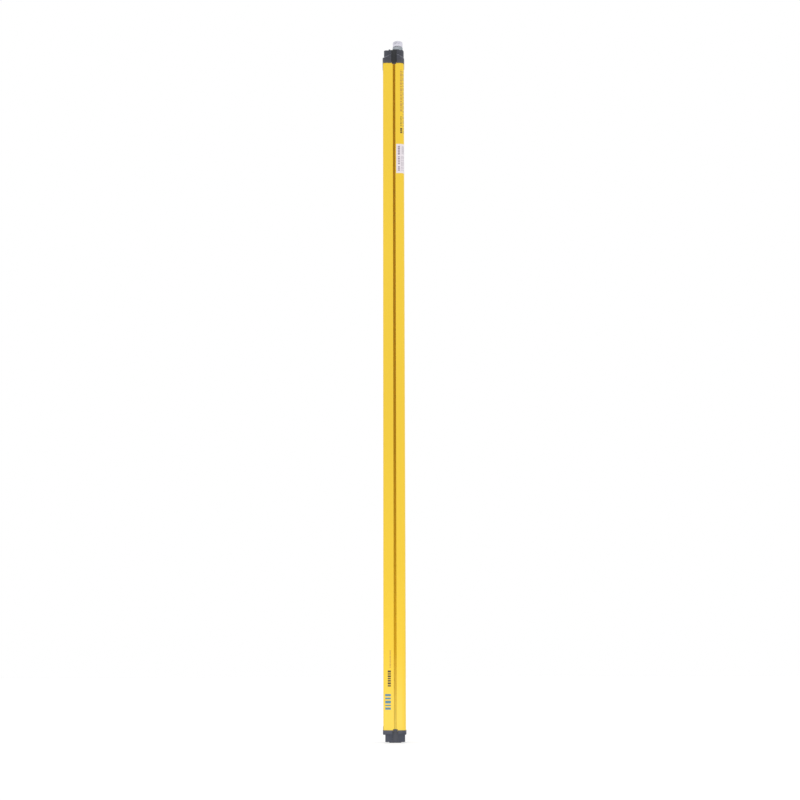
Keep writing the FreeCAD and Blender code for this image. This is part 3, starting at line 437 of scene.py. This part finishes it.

# fine rounding of the moulded edges of the two caps
for name, width in (("top_cap", 0.35), ("bottom_cap", 0.35)):
    ob = NODES[name]
    mod = ob.modifiers.new("edge_rounding", "BEVEL")
    mod.width = width * MM
    mod.segments = 2
    mod.limit_method = "ANGLE"
    mod.angle_limit = math.radians(38)
    mod.use_clamp_overlap = True
    mod.harden_normals = False


# ------------------------------------------------------------------ mesh helpers
def add_mesh(name, verts, faces, mat, smooth=False):
    me = bpy.data.meshes.new(name)
    me.from_pydata([tuple(v) for v in verts], [], faces)
    me.validate()
    me.update()
    bm = bmesh.new()
    bm.from_mesh(me)
    bmesh.ops.recalc_face_normals(bm, faces=bm.faces)
    bm.to_mesh(me)
    bm.free()
    if smooth:
        for p in me.polygons:
            p.use_smooth = True
    ob = bpy.data.objects.new(name, me)
    bpy.context.collection.objects.link(ob)
    me.materials.append(mat)
    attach(ob, "root")
    return ob


def smooth_by_angle(ob, degrees=35):
    for p in ob.data.polygons:
        p.use_smooth = True
    bm = bmesh.new()
    bm.from_mesh(ob.data)
    lim = math.radians(degrees)
    for e in bm.edges:
        if len(e.link_faces) == 2 and e.calc_face_angle(0.0) > lim:
            e.smooth = False
    bm.to_mesh(ob.data)
    bm.free()


# ------------------------------------------------------------------ skin points of the housing's right side
R_FRONT, R_REAR = 0.004, 0.009


def skin(s, lift=0.0):
    """Point on the right side face at s along its section: s is Y on the flat,
    and runs on round the rear and front corners. lift is the height off the surface."""
    y_hi, y_lo = REAR - R_REAR, FRONT + R_FRONT
    if s > y_hi:
        a = min((s - y_hi) / R_REAR, math.pi / 2)
        rest = (s - y_hi) - a * R_REAR
        r = R_REAR + lift
        cx, cy = SIDE - R_REAR, y_hi
        x, y = cx + r * math.cos(a), cy + r * math.sin(a)
        return x - rest, y
    if s < y_lo:
        a = min((y_lo - s) / R_FRONT, math.pi / 2)
        rest = (y_lo - s) - a * R_FRONT
        r = R_FRONT + lift
        cx, cy = SIDE - R_FRONT, y_lo
        return cx + r * math.cos(a) - rest, cy - r * math.sin(a)
    return SIDE + lift, s


class Print:
    """Printed fields: thin plates that follow the skin, gathered in one mesh."""

    def __init__(self, low, high):
        self.v, self.f = [], []
        self.low, self.high = low, high

    def bar(self, s0, s1, z0, z1, step=0.0008):
        n = max(1, int(math.ceil((s1 - s0) / step)))
        base = len(self.v)
        for i in range(n + 1):
            s = s0 + (s1 - s0) * i / n
            for lift in (self.low, self.high):
                x, y = skin(s, lift)
                self.v.append((x, y, z0))
                self.v.append((x, y, z1))
        for i in range(n):
            a, b = base + 4 * i, base + 4 * (i + 1)
            self.f += [(a + 2, a + 3, b + 3, b + 2), (a, b, b + 1, a + 1),
                       (a, a + 2, b + 2, b), (a + 1, b + 1, b + 3, a + 3)]
        a, b = base, base + 4 * n
        self.f += [(a, a + 1, a + 3, a + 2), (b, b + 2, b + 3, b + 1)]

    def words(self, s0, s1, z_from, z_to, lengths, gap, fill=0.86):
        """A line of plain blocks along z, like type seen from afar."""
        z = z_from
        way = 1 if z_to > z_from else -1
        i = 0
        while (z_to - z) * way > 0.0008:
            length = lengths[i % len(lengths)]
            e = z + way * length
            if (z_to - e) * way < 0:
                e = z_to
            self.bar(s0, s0 + (s1 - s0) * fill, min(z, e), max(z, e))
            z = e + way * gap
            i += 1

    def done(self, name, mat):
        return add_mesh(name, self.v, self.f, mat)


RING_GREY = make_rubber("ring_grey", 0.14)
INK_BLACK = make_ink("ink_black", srgb(58, 46, 30))
INK_GREY = make_ink("ink_grey", srgb(203, 160, 62), 0.15)
INK_SIDE = make_ink("ink_side", srgb(150, 134, 96), 0.25)
INK_BLUE = make_ink("ink_blue", srgb(84, 132, 152), 0.10)
INK_LABEL = make_ink("ink_label", srgb(158, 144, 160), 0.0)
INK_HATCH = make_ink("ink_hatch", srgb(186, 180, 186), 0.0)

# plain fields near the foot: blue blocks, black blocks, one fine line of blocks
p = Print(-0.00004, 0.00006)
z = 0.0765
for tall in (0.0052, 0.0030, 0.0064, 0.0040, 0.0052):
    p.bar(-0.0224, -0.0090, z, z + tall)
    z += tall + 0.0031
p.done("print_field_blue", INK_BLUE)
p = Print(-0.00004, 0.00006)
p.words(-0.0163, -0.0088, 0.1300, 0.1680, [0.0032, 0.0046, 0.0036, 0.0030, 0.0042], 0.0018, 1.0)
p.done("print_field_black", INK_BLACK)
p = Print(-0.00004, 0.00006)
p.words(-0.0118, -0.0088, 0.1735, 0.2145, [0.0030, 0.0046, 0.0022, 0.0038], 0.0013, 1.0)
# type lines near the connector end
p.words(0.0170, 0.0220, 1.5660, 1.6790, [0.0060, 0.0030, 0.0090, 0.0044, 0.0070], 0.0022, 1.0)
p.done("print_lines_grey", INK_GREY)
p = Print(-0.00004, 0.00006)
p.words(0.0242, 0.0262, 1.5080, 1.6790, [0.0070, 0.0034, 0.0052, 0.0092], 0.0034, 1.0)
p.done("print_lines_side", INK_SIDE)
p = Print(-0.00004, 0.00006)
p.words(0.0170, 0.0218, 1.5080, 1.5220, [0.0040, 0.0030, 0.0046], 0.0010, 1.0)
p.words(0.0180, 0.0200, 1.5260, 1.5550, [0.0036, 0.0060, 0.0028, 0.0046], 0.0016, 1.0)
p.done("print_lines_black", INK_BLACK)

# generic print of the sticker
LAB_Z0, LAB_Z1 = lab_lo[2], lab_hi[2]
p = Print(0.00014, 0.00024)
p.words(0.0108, 0.0160, LAB_Z1 - 0.0055, LAB_Z1 - 0.0290, [0.0034, 0.0046, 0.0030], 0.0010, 1.0)
p.words(0.0112, 0.0158, LAB_Z1 - 0.0330, LAB_Z1 - 0.0560, [0.0026, 0.0036, 0.0022], 0.0016, 1.0)
p.words(0.0112, 0.0158, LAB_Z1 - 0.0595, LAB_Z0 + 0.0050, [0.0034, 0.0026], 0.0012, 1.0)
p.done("label_print", INK_LABEL)
p = Print(0.00014, 0.00024)
# an even hatch, every line alike
for i in range(9):
    z = LAB_Z1 - 0.0060 - 0.0024 * i
    p.bar(0.0205, 0.0275, z - 0.0013, z)
for y in (0.0190, 0.0224, 0.0258):
    p.words(y, y + 0.0012, LAB_Z1 - 0.0320, LAB_Z0 + 0.0060, [0.0080, 0.0040, 0.0120, 0.0056], 0.0016, 1.0)
p.done("label_hatch", INK_HATCH)


# ------------------------------------------------------------------ connector with its thread
def lathe(points, cx, cy, steps=128):
    """Closed ring of section points (r, z) turned about the axis."""
    verts, faces = [], []
    n = len(points)
    for k in range(steps):
        a = 2 * math.pi * k / steps
        for r, z in points:
            verts.append((cx + r * math.cos(a), cy + r * math.sin(a), z))
    for k in range(steps):
        k2 = (k + 1) % steps
        for i in range(n):
            j = (i + 1) % n
            faces.append((k * n + i, k2 * n + i, k2 * n + j, k * n + j))
    return verts, faces


def build_connector():
    z0 = BAR_TOP
    mm = MM
    pitch = 1.0 * mm
    turned = [
        (7.6, -15.0), (9.0, -15.0), (9.0, 0.8), (12.7, 0.8), (13.0, 1.1), (13.0, 10.9), (12.6, 11.3),
        (12.1, 11.4), (11.9, 11.6), (11.9, 12.6), (12.1, 12.8), (12.4, 12.9), (12.7, 13.2), (12.7, 16.6),
        (12.5, 16.8), (12.3, 16.9), (12.3, 17.4), (12.4, 17.6), (12.3, 25.7), (11.9, 26.4), (11.7, 26.6),
        (11.45, 26.6), (11.3, 26.4), (11.3, 6.0), (7.6, 6.0),
    ]
    pts = [(r * mm, z0 + z * mm) for r, z in turned]
    v, f = lathe(pts, 0.0, CON_Y)
    ob = add_mesh("connector_body", v, f, MATS["connector_metal"])
    smooth_by_angle(ob, 25)
    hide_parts("connector_shell")
    # the thread: a ridge wound on the upper collar, with run-in and run-out
    lo, hi = z0 + 18.0 * mm, z0 + 25.4 * mm
    turns = (hi - lo) / pitch
    steps = 72
    total = int(turns * steps)
    verts, faces = [], []
    for k in range(total + 1):
        a = 2 * math.pi * k / steps
        z = lo + pitch * k / steps
        fade = min(1.0, k / (steps * 0.5), (total - k) / (steps * 0.5))
        root, crest = 12.28 * mm, (12.28 + 0.36 * max(fade, 0.1)) * mm
        for r, dz in ((root, -0.46 * pitch), (crest, -0.08 * pitch), (crest, 0.08 * pitch), (root, 0.46 * pitch)):
            verts.append((r * math.cos(a), CON_Y + r * math.sin(a), z + dz))
    for k in range(total):
        for i in range(3):
            a, b = 4 * k + i, 4 * (k + 1) + i
            faces.append((a, b, b + 1, a + 1))
        a, b = 4 * k, 4 * (k + 1)
        faces.append((a + 3, b + 3, b, a))
    faces.append((0, 1, 2, 3))
    e = 4 * total
    faces.append((e + 3, e + 2, e + 1, e))
    ob = add_mesh("connector_thread", verts, faces, MATS["connector_metal"])
    smooth_by_angle(ob, 30)
    # rubber ring in the middle groove
    ring, rf = [], []
    steps, sec = 96, 14
    rr, tr = 11.75 * mm, 0.42 * mm
    for k in range(steps):
        a = 2 * math.pi * k / steps
        for j in range(sec):
            b = 2 * math.pi * j / sec
            r = rr + tr * math.cos(b)
            ring.append((r * math.cos(a), CON_Y + r * math.sin(a), z0 + 12.1 * mm + tr * math.sin(b)))
    for k in range(steps):
        for j in range(sec):
            a, b = k * sec + j, ((k + 1) % steps) * sec + j
            c, d = ((k + 1) % steps) * sec + (j + 1) % sec, k * sec + (j + 1) % sec
            rf.append((a, b, c, d))
    add_mesh("connector_ring", ring, rf, RING_GREY, smooth=True)


build_connector()


# ------------------------------------------------------------------ display digit, unlit
def build_digit():
    lo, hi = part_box("display_module")
    y = lo[1] - 0.00012
    cx = 0.5 * (lo[0] + hi[0])
    cz = 0.5 * (lo[2] + hi[2])
    w, h, t = 0.0038, 0.0062, 0.0008
    lean = 0.12
    verts, faces = [], []

    def seg(x0, z0, x1, z1):
        d = Vector((x1 - x0, z1 - z0))
        n = Vector((-d.y, d.x)).normalized() * t / 2
        u = d.normalized() * t / 2
        pts = [(x0, z0), (x0 + u.x + n.x, z0 + u.y + n.y), (x1 - u.x + n.x, z1 - u.y + n.y), (x1, z1),
               (x1 - u.x - n.x, z1 - u.y - n.y), (x0 + u.x - n.x, z0 + u.y - n.y)]
        base = len(verts)
        for yy in (y, y + 0.0004):
            for px, pz in pts:
                verts.append((cx + px + lean * pz, yy, cz + pz))
        faces.append(tuple(base + i for i in range(6)))
        faces.append(tuple(base + 6 + i for i in reversed(range(6))))
        for i in range(6):
            j = (i + 1) % 6
            faces.append((base + i, base + 6 + i, base + 6 + j, base + j))

    a, b = w / 2, h / 2
    g = 0.00018
    seg(-a + g, b, a - g, b)
    seg(-a + g, 0, a - g, 0)
    seg(-a + g, -b, a - g, -b)
    for sx in (-1, 1):
        seg(sx * a, g, sx * a, b - g)
        seg(sx * a, -b + g, sx * a, -g)
    add_mesh("display_segments", verts, faces, MATS["led_resin"])


build_digit()


# ------------------------------------------------------------------ floor, world and lights
def build_stage():
    me = bpy.data.meshes.new("floor")
    s = 30.0
    me.from_pydata([(-s, -s, 0), (s, -s, 0), (s, s, 0), (-s, s, 0)], [], [(0, 1, 2, 3)])
    floor = bpy.data.objects.new("floor", me)
    bpy.context.collection.objects.link(floor)
    n = Nodes("floor_paper")
    n.color(n.ramp(n.noise(1.5, 3.0), [(0.3, (0.44, 0.44, 0.44)), (0.7, (0.46, 0.46, 0.46))]))
    n.rough(0.85)
    n.set(Emission_Color=(1.0, 1.0, 1.0, 1.0), Emission_Strength=0.56)
    me.materials.append(n.mat)

    world = bpy.data.worlds.new("studio")
    scene.world = world
    world.use_nodes = True
    bg = world.node_tree.nodes["Background"]
    bg.inputs["Color"].default_value = (1.0, 1.0, 1.0, 1.0)
    bg.inputs["Strength"].default_value = 1.0


def area(name, place, target, size, power, col=(1, 1, 1)):
    li = bpy.data.lights.new(name, "AREA")
    li.shape = "RECTANGLE"
    li.size, li.size_y = size
    li.energy = power
    li.color = col
    ob = bpy.data.objects.new(name, li)
    bpy.context.collection.objects.link(ob)
    d = Vector(target) - Vector(place)
    ob.matrix_world = Matrix.Translation(Vector(place)) @ d.to_track_quat("-Z", "Y").to_matrix().to_4x4()
    ob.visible_camera = False
    return ob


build_stage()
area("key_low", (0.42, -0.10, 0.06), (0, 0, 0.05), (0.30, 0.10), 0.24)
